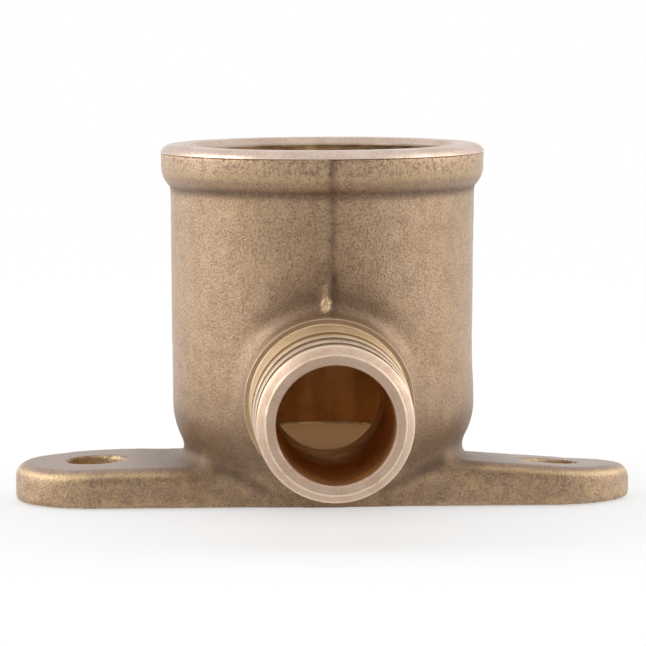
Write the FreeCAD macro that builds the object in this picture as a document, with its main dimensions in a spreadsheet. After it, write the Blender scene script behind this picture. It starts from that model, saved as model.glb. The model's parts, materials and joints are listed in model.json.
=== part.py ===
import FreeCAD, Part
import Sketcher
import math
import os
from enum import IntEnum
from types import SimpleNamespace

# Wall plate elbow: a brass pipe fitting, cast in one piece and then machined.
# An obround plate is screwed to the wall through two ears. A socket with an inside pipe thread
# stands on the plate, and a barbed spigot for plastic pipe leaves its foot at a right angle.
# The rim and bore of the socket and the whole spigot are turned; the rest is as cast.
# Frame, in millimetres: the origin is on the wall plane, on the socket's axis. +Z is that axis,
# pointing out of the wall, the spigot points along -Y and the ears along X.

# Driving sizes: name, millimetres, meaning
SIZES = [
    ("hole_span", 38.1, "screw holes, centre to centre"),
    ("hole_diameter", 4.9, "screw hole diameter"),
    ("ear_radius", 6.8, "round end of an ear, half the plate's width"),
    ("plate_thick", 3.5, "plate under the socket"),
    ("ear_fall", 0.95, "fall of the right ear's top from the middle to its screw hole"),
    ("ear_round", 1.2, "rounding of the ears' upper edge"),
    ("foot_bevel", 0.35, "bevel round the plate's lower edge"),
    ("body_diameter", 25.2, "socket body between bulb and collar"),
    ("bulb_top", 8.25, "where the socket body begins to round in, above the wall"),
    ("bulb_radius", 6.2, "rounding of the bulb at the socket's foot"),
    ("bulb_height", 5.25, "height of that rounding, which a cone carries on into the plate"),
    ("collar_swell", 0.97, "collar beyond the socket body, to each side"),
    ("socket_height", 29.8, "mouth of the socket above the wall"),
    ("rim_fall", 0.62, "fall of the rim's rounding to its outer edge"),
    ("rim_width", 0.9, "width of that rounding"),
    ("rim_radius", 1.3, "radius of that rounding"),
    ("collar_lip", 1.2, "upright lip of the collar below the rim"),
    ("collar_bead", 1.85, "rounded underside of the collar below the lip"),
    ("mouth_diameter", 22.2, "mouth diameter at the rim"),
    ("thread_diameter", 21.0, "socket bore at the thread's crest line"),
    ("thread_depth", 13.0, "thread length from the mouth"),
    ("chamber_diameter", 18.3, "plain chamber below the thread"),
    ("chamber_floor", 5.1, "chamber floor above the wall"),
    ("spigot_height", 9.75, "spigot axis above the wall"),
    ("boss_diameter", 13.7, "cast boss that carries the spigot"),
    ("boss_reach", 16.7, "spigot shoulder from the socket's axis"),
    ("boss_fillet", 1.2, "casting fillet between boss and socket"),
    ("spigot_length", 15.0, "spigot from shoulder to tip"),
    ("land_diameter", 12.7, "spigot diameter on the land"),
    ("nose_diameter", 12.2, "spigot diameter at the nose"),
    ("tip_diameter", 10.8, "spigot diameter at the end face"),
    ("nose_length", 1.0, "length of the bevelled nose"),
    ("land_length", 5.4, "plain land next to the shoulder"),
    ("barb_pitch", 3.3, "distance from one barb groove to the next"),
    ("groove_width", 1.9, "barb groove at the surface"),
    ("groove_slant", 0.35, "run of a barb groove's slanted front wall"),
    ("groove_depth", 0.4, "barb groove below the land"),
    ("water_diameter", 9.2, "waterway through the spigot"),
    ("seam_width", 0.5, "mould seam down the front"),
    ("seam_height", 0.1, "mould seam above the cast skin"),
    ("fin_rise", 2.6, "flash fin above the boss, up the socket"),
    ("fin_reach", 1.3, "flash fin along the boss, off the socket"),
]
BARBS = range(3)
# How edges are found, and the way a sketch numbers the points of a side
NEAR = 1e-3
SAMPLES = 11
Point = IntEnum("Point", "LEAVES ARRIVES CENTRE")
UP = FreeCAD.Vector(0, 0, 1)

doc = FreeCAD.newDocument("wall_plate_elbow")
sheet = doc.addObject("Spreadsheet::Sheet", "Sizes")
for row, (alias, number, meaning) in enumerate(SIZES, start=1):
    sheet.set(f"A{row}", meaning)
    sheet.set(f"B{row}", str(number))
    sheet.setAlias(f"B{row}", alias)
doc.recompute()


class Size:
    """A length that keeps its number together with the sheet formula behind it."""

    def __init__(self, number, formula):
        self.number = number
        self.formula = formula

    @staticmethod
    def of(value):
        return value if isinstance(value, Size) else Size(float(value), str(value))

    def __add__(self, other):
        other = Size.of(other)
        return Size(self.number + other.number, f"({self.formula} + {other.formula})")

    def __sub__(self, other):
        other = Size.of(other)
        return Size(self.number - other.number, f"({self.formula} - {other.formula})")

    def __mul__(self, other):
        other = Size.of(other)
        return Size(self.number * other.number, f"({self.formula} * {other.formula})")

    def __truediv__(self, other):
        other = Size.of(other)
        return Size(self.number / other.number, f"({self.formula} / {other.formula})")

    def __neg__(self):
        return Size(-self.number, f"(-1 * {self.formula})")

    def root(self):
        return Size(math.sqrt(self.number), f"sqrt({self.formula})")


mm = SimpleNamespace(**{alias: sheet.get(alias) for alias, _, _ in SIZES})
size = SimpleNamespace(**{alias: Size(sheet.get(alias), f"Sizes.{alias}") for alias, _, _ in SIZES})
ZERO = Size(0.0, "0")

body = doc.addObject("PartDesign::Body", "elbow_body")
body.Label = "elbow_body"


def origin(role):
    """A plane or axis of the body's own origin."""
    return next(item for item in body.Origin.OriginFeatures if item.Role == role)


def new_sketch(name, plane, raised=None):
    """An empty sketch on an origin plane, with its own origin raised along the plane's upright."""
    sketch = body.newObject("Sketcher::SketchObject", name)
    sketch.AttachmentSupport = [(origin(plane), "")]
    sketch.MapMode = "FlatFace"
    if raised is not None:
        sketch.setExpression("AttachmentOffset.Base.y", raised.formula)
    return sketch


def dimension(sketch, kind, *where, to):
    """Add a dimension to a sketch and bind it to its formula."""
    index = sketch.addConstraint(Sketcher.Constraint(kind, *where, to.number))
    sketch.setExpression(f"Constraints[{index}]", to.formula)


def pin_point(sketch, side, end, across, up):
    """Fix one point of a sketch, measured from the sketch's origin."""
    for kind, axis, place in (("DistanceX", -2, across), ("DistanceY", -1, up)):
        if place is ZERO:
            sketch.addConstraint(Sketcher.Constraint("PointOnObject", side, end, axis))
        else:
            dimension(sketch, kind, -1, 1, side, end, to=place)


def arc_between(start, end, radius):
    """The shorter arc from start to end that turns left."""
    chord = end - start
    sideways = FreeCAD.Vector(-chord.y, chord.x, 0).normalize()
    centre = start + chord * 0.5 + sideways * math.sqrt(radius ** 2 - chord.Length ** 2 / 4)
    angles = [math.atan2(point.y - centre.y, point.x - centre.x) for point in (start, end)]
    return Part.ArcOfCircle(Part.Circle(centre, UP, radius), *angles)


def corner(across, up, arc=None):
    """A corner of an outline drawn anticlockwise. arc is the radius of the side that arrives here."""
    return SimpleNamespace(across=across, up=up, arc=arc)


def outline(sketch, corners):
    """Draw a closed outline whose corners are bound to their formulas."""
    for before, this in zip(corners[-1:] + corners, corners):
        start = FreeCAD.Vector(before.across.number, before.up.number, 0)
        end = FreeCAD.Vector(this.across.number, this.up.number, 0)
        if this.arc is None:
            sketch.addGeometry(Part.LineSegment(start, end))
        else:
            side = sketch.addGeometry(arc_between(start, end, this.arc.number))
            dimension(sketch, "Radius", side, to=this.arc)
    for side, this in enumerate(corners):
        after = (side + 1) % len(corners)
        sketch.addConstraint(Sketcher.Constraint("Coincident", side, Point.ARRIVES, after, Point.LEAVES))
        pin_point(sketch, side, Point.ARRIVES, this.across, this.up)
    return sketch


def circles(sketch, diameter, centres):
    """Draw equal circles in a sketch."""
    for across, up in centres:
        middle = FreeCAD.Vector(across.number, up.number, 0)
        side = sketch.addGeometry(Part.Circle(middle, UP, diameter.number / 2))
        dimension(sketch, "Diameter", side, to=diameter)
        pin_point(sketch, side, Point.CENTRE, across, up)
    return sketch


def volume():
    return body.Shape.Volume if body.Shape and not body.Shape.isNull() else 0.0


def feature(kind, name, sketch=None, adds=None, bind=None, **settings):
    """Add a feature, bind its sizes, rebuild, and confirm that it added or removed material."""
    before = volume()
    made = body.newObject(f"PartDesign::{kind}", name)
    if sketch is not None:
        made.Profile = sketch
    for key, value in settings.items():
        setattr(made, key, value)
    for key, value in (bind or {}).items():
        made.setExpression(key, value.formula)
    body.Tip = made
    doc.recompute()
    change = volume() - before
    if adds is not None and (change > 0) != adds or abs(change) < NEAR:
        raise RuntimeError(f"{name} changed the volume by {change:.4f} cubic mm")
    return made


def soften(kind, name, amount, at_edge):
    """Round or bevel the edges of the body along which every sampled point passes a test."""
    base = body.Tip
    names = []
    for number, edge in enumerate(base.Shape.Edges, start=1):
        first, *inside, last = edge.discretize(Number=SAMPLES)
        if all(at_edge(point) for point in inside):
            names.append(f"Edge{number}")
    if not names:
        raise RuntimeError(f"{name} found no edges")
    return feature(kind, name, bind=amount, Base=(base, names))


half_span = size.hole_span / 2
barrel = size.body_diameter / 2
mouth = size.mouth_diameter / 2
boss_top = size.spigot_height + size.boss_diameter / 2

# The bulb's rounding ends in a cone that runs into the plate
bulb_run = (size.bulb_radius * size.bulb_radius - size.bulb_height * size.bulb_height).root()
bulb_slope = size.bulb_height / bulb_run
cone_top = size.bulb_top - size.bulb_height
cone_start = barrel - size.bulb_radius + bulb_run
cone_floor = size.foot_bevel * 2
cone_end = cone_start - (cone_top - cone_floor) * bulb_slope


def near(value, target):
    return abs(value - target) < NEAR


def off_spigot_axis(point):
    return math.hypot(point.x, point.z - mm.spigot_height)


def off_plate_spine(point):
    """Distance from the line between the screw holes, seen from above."""
    return math.hypot(max(abs(point.x) - half_span.number, 0.0), point.y)


def ear_top(point):
    return mm.plate_thick - mm.ear_fall * max(point.x, 0.0) / half_span.number


def at_ear_edge(point):
    return near(off_plate_spine(point), mm.ear_radius) and near(point.z, ear_top(point))


def at_foot_edge(point):
    return near(off_plate_spine(point), mm.ear_radius) and near(point.z, 0.0)


def at_boss_root(point):
    beside_seam = abs(point.x) > mm.seam_width / 2 + NEAR or point.z < mm.spigot_height
    before_shoulder = point.y > NEAR - mm.boss_reach
    return near(off_spigot_axis(point), mm.boss_diameter / 2) and before_shoulder and beside_seam


# Wall plate: an obround with its ends round the screw holes
sketch = new_sketch("plate_outline", "XY_Plane")
for sign, first, last in ((1, -math.pi / 2, math.pi / 2), (-1, math.pi / 2, 3 * math.pi / 2)):
    middle = FreeCAD.Vector(sign * half_span.number, 0, 0)
    end_circle = Part.Circle(middle, UP, size.ear_radius.number)
    side = sketch.addGeometry(Part.ArcOfCircle(end_circle, first, last))
    dimension(sketch, "Radius", side, to=size.ear_radius)
    pin_point(sketch, side, Point.CENTRE, half_span if sign > 0 else -half_span, ZERO)
for up, first, last in ((1, 0, 1), (-1, 1, 0)):
    points = [FreeCAD.Vector(s * up * half_span.number, up * size.ear_radius.number, 0) for s in (1, -1)]
    side = sketch.addGeometry(Part.LineSegment(*points))
    sketch.addConstraint(Sketcher.Constraint("Tangent", first, Point.ARRIVES, side, Point.LEAVES))
    sketch.addConstraint(Sketcher.Constraint("Tangent", side, Point.ARRIVES, last, Point.LEAVES))
feature("Pad", "plate", sketch, adds=True, bind={"Length": size.plate_thick})

# The right ear's top falls away from the middle, as this casting's does
beyond = half_span + size.ear_radius * 2
sketch = outline(new_sketch("fall_outline", "XZ_Plane"), [
    corner(ZERO, size.plate_thick),
    corner(beyond, size.plate_thick - size.ear_fall * beyond / half_span),
    corner(beyond, size.plate_thick + size.ear_fall),
])
feature("Pocket", "right_fall", sketch, adds=False, Type="ThroughAll", SideType="Symmetric")

# Socket: a round body on a rounded bulb, with a collar below a turned rim
# The collar's underside is an arc that ends upright at the lip.
collar = barrel + size.collar_swell
rim_edge = size.socket_height - size.rim_fall
lip = rim_edge - size.collar_lip
collar_root = lip - size.collar_bead
swell = size.collar_swell
bead_radius = (swell * swell + size.collar_bead * size.collar_bead) / (swell * 2)
sketch = outline(new_sketch("socket_outline", "YZ_Plane"), [
    corner(ZERO, cone_floor),
    corner(cone_end, cone_floor),
    corner(cone_start, cone_top),
    corner(barrel, size.bulb_top, arc=size.bulb_radius),
    corner(barrel, collar_root),
    corner(collar, lip, arc=bead_radius),
    corner(collar, rim_edge),
    corner(collar - size.rim_width, size.socket_height, arc=size.rim_radius),
    corner(ZERO, size.socket_height),
])
feature("Revolution", "socket", sketch, adds=True, ReferenceAxis=(sketch, ["V_Axis"]), Angle=360)

# Boss that carries the spigot
sketch = circles(new_sketch("boss_outline", "XZ_Plane"), size.boss_diameter, [(ZERO, size.spigot_height)])
feature("Pad", "boss", sketch, adds=True, bind={"Length": size.boss_reach})

# Barbed spigot: a land, a slightly tapered run of barbs and a bevelled nose
shoulder = -size.boss_reach
tip = shoulder - size.spigot_length
land_end = shoulder - size.land_length
nose = tip + size.nose_length
land = size.land_diameter / 2
sketch = outline(new_sketch("spigot_outline", "YZ_Plane", raised=size.spigot_height), [
    corner(shoulder / 2, ZERO),
    corner(tip, ZERO),
    corner(tip, size.tip_diameter / 2),
    corner(nose, size.nose_diameter / 2),
    corner(land_end, land),
    corner(shoulder / 2, land),
])
feature("Revolution", "spigot", sketch, adds=True, ReferenceAxis=(sketch, ["H_Axis"]), Angle=360)

# Barb grooves: square behind, slanted towards the tip
groove_floor = land - size.groove_depth
groove_end = land_end - size.groove_width
sketch = outline(new_sketch("groove_outline", "YZ_Plane", raised=size.spigot_height), [
    corner(land_end, groove_floor),
    corner(land_end, land + size.groove_depth),
    corner(groove_end, land + size.groove_depth),
    corner(groove_end, land),
    corner(groove_end + size.groove_slant, groove_floor),
])
groove = feature("Groove", "barb_groove", sketch, adds=False, ReferenceAxis=(sketch, ["H_Axis"]), Angle=360)
feature(
    "LinearPattern", "barb_grooves", adds=False, bind={"Offset": size.barb_pitch}, Originals=[groove],
    Direction=(origin("Y_Axis"), [""]), Reversed=True, Mode="Spacing", Occurrences=len(BARBS),
)

# Socket bore: mouth bevel, thread wall and the plain chamber where the waterway turns
thread = size.thread_diameter / 2
chamber = size.chamber_diameter / 2
thread_end = size.socket_height - size.thread_depth
sketch = outline(new_sketch("bore_outline", "YZ_Plane"), [
    corner(ZERO, size.chamber_floor),
    corner(chamber, size.chamber_floor),
    corner(chamber, thread_end - (thread - chamber)),
    corner(thread, thread_end),
    corner(thread, size.socket_height - (mouth - thread)),
    corner(mouth, size.socket_height),
    corner(mouth, size.socket_height + size.thread_depth),
    corner(ZERO, size.socket_height + size.thread_depth),
])
feature("Groove", "socket_bore", sketch, adds=False, ReferenceAxis=(sketch, ["V_Axis"]), Angle=360)

# Waterway through the spigot into the chamber
sketch = circles(new_sketch("water_outline", "XZ_Plane"), size.water_diameter, [(ZERO, size.spigot_height)])
feature("Pocket", "waterway", sketch, adds=False, bind={"Length": -tip + size.nose_length}, Reversed=True)

# Screw holes through the ears
hole_places = [(half_span, ZERO), (-half_span, ZERO)]
sketch = circles(new_sketch("hole_outline", "XY_Plane"), size.hole_diameter, hole_places)
feature("Pocket", "screw_holes", sketch, adds=False, Type="ThroughAll", SideType="Symmetric")

# Mould seam down the front of the socket, with a fin of flash in the corner above the boss
seam_back = size.fin_reach - barrel
seam_top = collar_root + size.seam_height * 2
sketch = outline(new_sketch("seam_outline", "YZ_Plane"), [
    corner(seam_back, boss_top - size.boss_fillet),
    corner(-(barrel + size.fin_reach), boss_top - size.boss_fillet),
    corner(-(barrel + size.fin_reach), boss_top + size.seam_height),
    corner(-(barrel + size.seam_height * 2), boss_top + size.fin_rise),
    corner(-(barrel + size.seam_height), seam_top),
    corner(seam_back, seam_top),
])
feature("Pad", "seam", sketch, adds=True, bind={"Length": size.seam_width}, SideType="Symmetric")

# Rounded ears, the bevel round the ground wall face, and the casting fillet at the boss
soften("Fillet", "ear_edges", {"Radius": size.ear_round}, at_ear_edge)
soften("Chamfer", "foot_edge", {"Size": size.foot_bevel}, at_foot_edge)
soften("Fillet", "boss_root", {"Radius": size.boss_fillet}, at_boss_root)

failed = [item.Name for item in doc.Objects if {"Invalid", "Error"} & set(item.State)]
if failed or body.Shape.isNull() or not body.Shape.isValid():
    raise RuntimeError(f"the model did not rebuild: {failed}")
if len(body.Shape.Solids) != 1:
    raise RuntimeError(f"a casting is one solid, not {len(body.Shape.Solids)}")

os.makedirs("parts", exist_ok=True)
body.Shape.exportStep(os.path.join("parts", f"{body.Label}.step"))
print(f"{body.Label}: {volume():.1f} cubic mm, {len(body.Shape.Faces)} faces")
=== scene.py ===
# %% [markdown]
# # A wall plate elbow in cast brass
# The elbow is one brass casting. A plate with two ears is screwed to the wall, a socket with an
# inside pipe thread stands on it, and a barbed spigot for plastic pipe leaves the socket's foot.
# Most of its skin is as it left the mould; the rim, the thread and the spigot are cut on a lathe.
# The packed CAD part is loaded first, as the fixed frame that everything below has to fit.

# %% Load the frame
import json
import math
import bpy
import numpy as np
from mathutils import Matrix, Vector, noise


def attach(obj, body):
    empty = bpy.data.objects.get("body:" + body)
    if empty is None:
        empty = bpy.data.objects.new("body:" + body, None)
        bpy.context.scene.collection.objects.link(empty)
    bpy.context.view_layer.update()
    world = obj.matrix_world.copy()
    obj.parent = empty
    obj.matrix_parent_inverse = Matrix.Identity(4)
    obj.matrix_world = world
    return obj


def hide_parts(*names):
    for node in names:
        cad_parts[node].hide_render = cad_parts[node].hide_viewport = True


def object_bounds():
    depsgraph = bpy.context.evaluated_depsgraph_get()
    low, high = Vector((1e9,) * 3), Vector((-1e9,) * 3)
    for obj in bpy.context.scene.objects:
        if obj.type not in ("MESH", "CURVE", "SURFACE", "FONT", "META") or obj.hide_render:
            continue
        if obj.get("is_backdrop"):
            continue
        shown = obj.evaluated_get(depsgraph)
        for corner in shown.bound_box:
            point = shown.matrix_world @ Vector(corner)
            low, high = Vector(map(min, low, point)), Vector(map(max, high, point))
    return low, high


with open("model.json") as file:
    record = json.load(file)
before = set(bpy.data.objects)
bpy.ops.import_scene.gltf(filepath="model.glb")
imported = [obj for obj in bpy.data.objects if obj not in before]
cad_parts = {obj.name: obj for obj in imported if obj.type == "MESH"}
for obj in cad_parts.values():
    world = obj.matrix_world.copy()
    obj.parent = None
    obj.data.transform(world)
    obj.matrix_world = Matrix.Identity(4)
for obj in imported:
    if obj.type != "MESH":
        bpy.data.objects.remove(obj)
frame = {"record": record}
cad_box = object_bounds()
MM = 0.001
low, high = (np.array(corner) / MM for corner in cad_box)
mounts = {mount["name"]: mount for mount in frame["record"]["mounts"]}
print("the casting in mm:", low.round(2), "to", high.round(2))

# %% [markdown]
# ## Sizes
# All shapes below are worked out in millimetres, in the frame's own axes: Z is the socket's axis,
# the spigot points along -Y and the ears lie along X. What the record states is read from it, and
# the rest are the casting's own sizes, as a pattern maker would note them.

# %% Sizes of the casting
HOLE_X = mounts["ear_holes"]["dims"]["spacing_x_mm"] / 2
HOLE_RADIUS = mounts["ear_holes"]["dims"]["hole_r_mm"]
EAR_RADIUS = high[0] - HOLE_X
EAR_ROUND, FOOT_ROUND, HOLE_ROUND = 1.2, 0.35, 0.1
PLATE_THICK = 3.5
BODY_RADIUS, BODY_FLOOR = 12.6, 0.7
BULB_TOP, BULB_RADIUS, BULB_HEIGHT = 8.12, 6.2, 5.25
COLLAR_RADIUS = high[1]
COLLAR_ROOT, COLLAR_LIP, RIM_EDGE = 26.13, 27.98, 29.18
SOCKET_TOP = high[2]
SPIGOT_Z = mounts["pipe_spigot"]["pos_m"][2] / MM
BOSS_RADIUS, SHOULDER = 6.85, -16.7
TIP = low[1]
print(f"ears of radius {EAR_RADIUS:.2f}, collar {COLLAR_RADIUS:.2f}, spigot tip at {TIP:.1f}")

# %% Sizes of the turned surfaces
THREAD_RADIUS = mounts["socket_thread"]["dims"]["r_mm"]
THREAD_PITCH, THREAD_DEPTH, THREAD_END = 25.4 / 14, 1.15, 16.8
MOUTH_RADIUS, BEVEL_DEPTH = 11.1, 0.42
CHAMBER_RADIUS, CHAMBER_FLOOR = 9.15, 5.12
LAND_RADIUS = mounts["pipe_spigot"]["dims"]["r_mm"]
WATER_RADIUS = mounts["waterway"]["dims"]["r_mm"]
print(f"thread of {THREAD_PITCH:.3f} mm pitch, waterway {2 * WATER_RADIUS:.1f} mm wide")

# %% [markdown]
# ## The cast skin as a distance field
# Where two parts of a casting meet, the sand leaves a soft fillet, and every outer edge is a little
# round. A modeller could bevel each edge by hand, but the crossings of ears, bulb and boss make that
# tedious. Here the casting is a distance field instead: a function that says how far a point is from
# the skin, below zero inside the metal. Two fields join with a fillet by one formula, and a bore is
# taken away by the same formula turned inside out.

# %% Joining and cutting with round corners
def join(a, b, radius):
    """Both bodies, with a fillet of this radius where they meet."""
    return np.maximum(np.minimum(a, b), radius) - np.hypot(
        np.maximum(radius - a, 0), np.maximum(radius - b, 0))


def common(a, b, radius):
    """What both bodies share, with its edge rounded."""
    return -join(-a, -b, radius)


def cut(a, b, radius):
    """The first body with the second taken away, and the new edge rounded."""
    return common(a, -b, radius)


print("a fillet of 1 mm fills the corner by", round(float(-join(0.0, 0.0, 1.0)), 3), "mm")

# %% [markdown]
# ## Two curves used throughout
# A casting is full of things that come and go along a length: an ear that starts to fall, a swelling
# at the foot, dirt beside a seam. A ramp and a hump describe nearly all of them.

# %% Ramp and hump
def ramp(value, start, end):
    """0 before the start, 1 past the end and straight in between. The end may lie below the start."""
    return np.clip((value - start) / (end - start), 0, 1)


def hump(value, middle, width):
    """1 at the middle, falling off smoothly on both sides over this width."""
    return np.exp(-((value - middle) / width) ** 2)


print("a ramp from 2 to 12 at 4:", ramp(4, 2, 12), "and a hump one width off:", hump(1, 0, 1).round(3))

# %% [markdown]
# ## Plate and ears
# The plate is an obround: every point within one ear's radius of the line between the screw holes.
# Its upper edge is well rounded. An extruded outline with a bevel would be level all over, and this
# casting isn't: the right ear falls away towards its end and leans back, while the left one leans
# forward a little and drops at its end. So the height of the top is a function of its own.

# %% The plate's field
RIGHT_FALL, FALL_START, FALL_END = 0.073, 6.8, 21.2
LEFT_DROP, DROP_START, DROP_END = 0.21, 17.0, 22.0
RIGHT_LEAN, LEFT_LEAN = 0.055, 0.018
LEAN_START, LEAN_FULL = 2.0, 12.0


def ear_top(x, y):
    """Height of the plate's top."""
    fall = RIGHT_FALL * (np.clip(x, FALL_START, FALL_END) - FALL_START)
    drop = LEFT_DROP * ramp(-x, DROP_START, DROP_END)
    lean = RIGHT_LEAN * ramp(x, LEAN_START, LEAN_FULL) - LEFT_LEAN * ramp(-x, LEAN_START, LEAN_FULL)
    return PLATE_THICK - fall - drop - lean * (y - EAR_RADIUS + EAR_ROUND)


def plate_field(x, y, z):
    outline = np.hypot(np.maximum(np.abs(x) - HOLE_X, 0), y) - EAR_RADIUS
    slab = common(outline, z - ear_top(x, y), EAR_ROUND)
    slab = common(slab, -z, FOOT_ROUND)
    hole = np.hypot(np.abs(x) - HOLE_X, y) - HOLE_RADIUS
    return cut(slab, hole, HOLE_ROUND)


print("plate at its middle:", plate_field(np.array(0.0), np.array(0.0), np.array(1.0)).round(2))

# %% [markdown]
# ## Socket body
# The body is round, so one function gives its radius at each height: a cone and a bulb at the foot,
# a barrel that widens upwards by the pattern's draft, and the collar with its rounded underside.
# A spun curve could show that too, but a field takes a fillet wherever a neighbour meets it.
# The core sat a little askew in this mould, so the foot swells further to the right and the socket
# leans by a fraction of a degree.

# %% Radius of the socket at each height
BULB_RUN = math.sqrt(BULB_RADIUS ** 2 - BULB_HEIGHT ** 2)
COLLAR_SWELL = COLLAR_RADIUS - BODY_RADIUS
BEAD_RADIUS = (COLLAR_SWELL ** 2 + (COLLAR_LIP - COLLAR_ROOT) ** 2) / (2 * COLLAR_SWELL)
SKIN_INSET, SAND_ROOM = 0.04, 0.02
DRAFT, DRAFT_START, DRAFT_END = 0.010, 13.0, 26.0
SWELL, SWELL_Z, SWELL_WIDTH = 0.05, 9.0, 2.5


def body_radius(z):
    cone_top = BULB_TOP - BULB_HEIGHT
    cone = BODY_RADIUS - BULB_RADIUS + BULB_RUN - (cone_top - z) * BULB_HEIGHT / BULB_RUN
    below = np.clip(BULB_TOP - z, 0, BULB_HEIGHT)
    bulb = BODY_RADIUS - BULB_RADIUS + np.sqrt(BULB_RADIUS ** 2 - below ** 2)
    draft = DRAFT * (np.clip(z, DRAFT_START, DRAFT_END) - DRAFT_START)
    barrel = bulb + SAND_ROOM + draft + SWELL * hump(z, SWELL_Z, SWELL_WIDTH)
    under = np.clip(COLLAR_LIP - z, 0, COLLAR_LIP - COLLAR_ROOT)
    collar = COLLAR_RADIUS - SKIN_INSET - BEAD_RADIUS + np.sqrt(BEAD_RADIUS ** 2 - under ** 2)
    return np.where(z < cone_top, cone, np.where(z < COLLAR_ROOT, barrel, np.maximum(barrel, collar)))


print("radius at foot, barrel and collar:", body_radius(np.array([3.0, 14.0, 29.0])).round(2))

# %% The body's field
SHIFT, SHIFT_Z, SHIFT_WIDTH = 0.12, 7.5, 3.5
TILT, TILT_Z = 0.005, 14.0
SLOPE_STEP = 0.02


def body_field(x, y, z):
    slope = (body_radius(z + SLOPE_STEP) - body_radius(z - SLOPE_STEP)) / (2 * SLOPE_STEP)
    shift = SHIFT * hump(z, SHIFT_Z, SHIFT_WIDTH) + TILT * (z - TILT_Z)
    side = (np.hypot(x - shift, y) - body_radius(z)) / np.hypot(1, slope)
    return np.maximum(np.maximum(side, z - RIM_EDGE - SKIN_INSET), BODY_FLOOR - z)


print("body at its wall:", body_field(np.array(0.0), np.array(BODY_RADIUS), np.array(TILT_Z)).round(2))

# %% [markdown]
# ## Mould seam and flash
# The mould parts along the plane of symmetry, so a thin seam runs up the socket at front and back.
# The halves never meet exactly: the left one stands a little proud. Above the boss, metal has crept
# between them and left a rough fin, which rides out over the boss's fillet. Bump in the material could
# hint at both, but they catch the light from every side, so they are part of the shape.

# %% The seam
SEAM_X = 0.25
STEP, STEP_BLEND, STEP_REACH = 0.07, 0.07, 3.0
NICK, NICK_X, NICK_WIDTH = 0.10, 0.2, 0.22


def off_seam(x, z):
    """Distance to the right of the seam, which wanders a little on its way up."""
    return x - SEAM_X - 0.06 * np.sin(z * 1.1) - 0.04 * np.sin(z * 2.9 + 1.0)


def seam_height(x, z):
    """How far the skin stands proud because of the mould's two halves."""
    beside = off_seam(x, z)
    step = STEP / (1 + np.exp(np.clip(beside / STEP_BLEND, -40, 40)))
    uneven = (0.6 + 0.4 * np.sin(z * 1.7)) * (z < COLLAR_ROOT)
    nick = NICK * hump(beside, NICK_X, NICK_WIDTH) * uneven
    return (step * hump(x, 0, STEP_REACH) - nick) * (z > PLATE_THICK)


print("seam at its nick:", round(float(seam_height(0.45, 22.0)), 3), "mm")

# %% The fin of flash
FIN_X, FIN_RADIUS, FIN_LOW, FIN_HIGH = -0.16, 0.38, 15.8, 19.6
FIN_TAPER = 2.5
FIN_OUT, FIN_RIDE, RIDE_START, RIDE_END = 0.1, 0.9, 17.7, 16.4


def fin_field(x, y, z):
    rough = np.sin(z * 4.4) + 0.7 * np.sin(z * 9.7 + y * 6.0 + x * 7.0)
    radius = FIN_RADIUS * np.clip((FIN_HIGH - z) / FIN_TAPER, 0.2, 1) + 0.04 * rough
    out = FIN_OUT + FIN_RIDE * ramp(z, RIDE_START, RIDE_END) ** 2
    ridge = np.hypot(x - FIN_X - 0.06 * np.sin(z * 3.0), y + BODY_RADIUS + out) - radius
    return np.maximum(ridge, np.abs(z - (FIN_LOW + FIN_HIGH) / 2) - (FIN_HIGH - FIN_LOW) / 2)


print("fin from", FIN_LOW, "to", FIN_HIGH, "mm")

# %% [markdown]
# ## The whole casting, bored
# The boss is a plain cylinder. Joined with the body and plate it gets the casting fillets. The bores
# are cut after casting, so they come last and keep sharp edges. Where the turned rim and spigot
# follow as lathe work, the bore is cut wider, and their metal fills it. Boolean modifiers could cut
# the bores too, but they leave long thin faces at the crossings, which shade badly.

# %% Boss, bores and the complete field
CREASE, BOSS_FILLET, FIN_FILLET, BORE_ROUND = 2.0, 1.4, 0.3, 0.08
RING_WALL, RING_FOOT = 0.9, THREAD_END - 0.6
TUBE_WALL, TUBE_SEAT = 0.9, -13.0


def boss_field(x, y, z):
    round_side = np.hypot(x, z - SPIGOT_Z) - BOSS_RADIUS + SKIN_INSET
    return np.maximum(np.maximum(round_side, SHOULDER + 0.06 - y), y)


def bore_field(x, y, z):
    socket_radius = np.where(z > RING_FOOT, THREAD_RADIUS + RING_WALL, CHAMBER_RADIUS)
    socket = np.maximum(np.hypot(x, y) - socket_radius, CHAMBER_FLOOR - z)
    water_radius = np.where(y < TUBE_SEAT, WATER_RADIUS + TUBE_WALL, WATER_RADIUS)
    water = np.maximum(np.hypot(x, z - SPIGOT_Z) - water_radius, y + 0.8 * CHAMBER_RADIUS)
    return np.minimum(socket, water)


def outer_field(x, y, z):
    body = join(plate_field(x, y, z), body_field(x, y, z) - seam_height(x, z), CREASE)
    return join(join(body, boss_field(x, y, z), BOSS_FILLET), fin_field(x, y, z), FIN_FILLET)


def casting_field(x, y, z):
    return cut(outer_field(x, y, z), bore_field(x, y, z), BORE_ROUND)


in_wall = np.array([[0.0], [11.8], [12.0]])
print("field in the wall of the socket:", casting_field(*in_wall).round(2))

# %% [markdown]
# ## From field to mesh
# A surface net turns the field into quads. Space is divided into small cubes; each cube that the skin
# passes through gets one vertex, and each grid edge that crosses the skin gets one quad between its
# four cubes. A few steps down the field's slope then put every vertex on the skin itself, so round
# parts come out round and not stepped. Blender's Volume to Mesh modifier works in a like way, but here
# each vertex can go on to ask the field for more.

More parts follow.
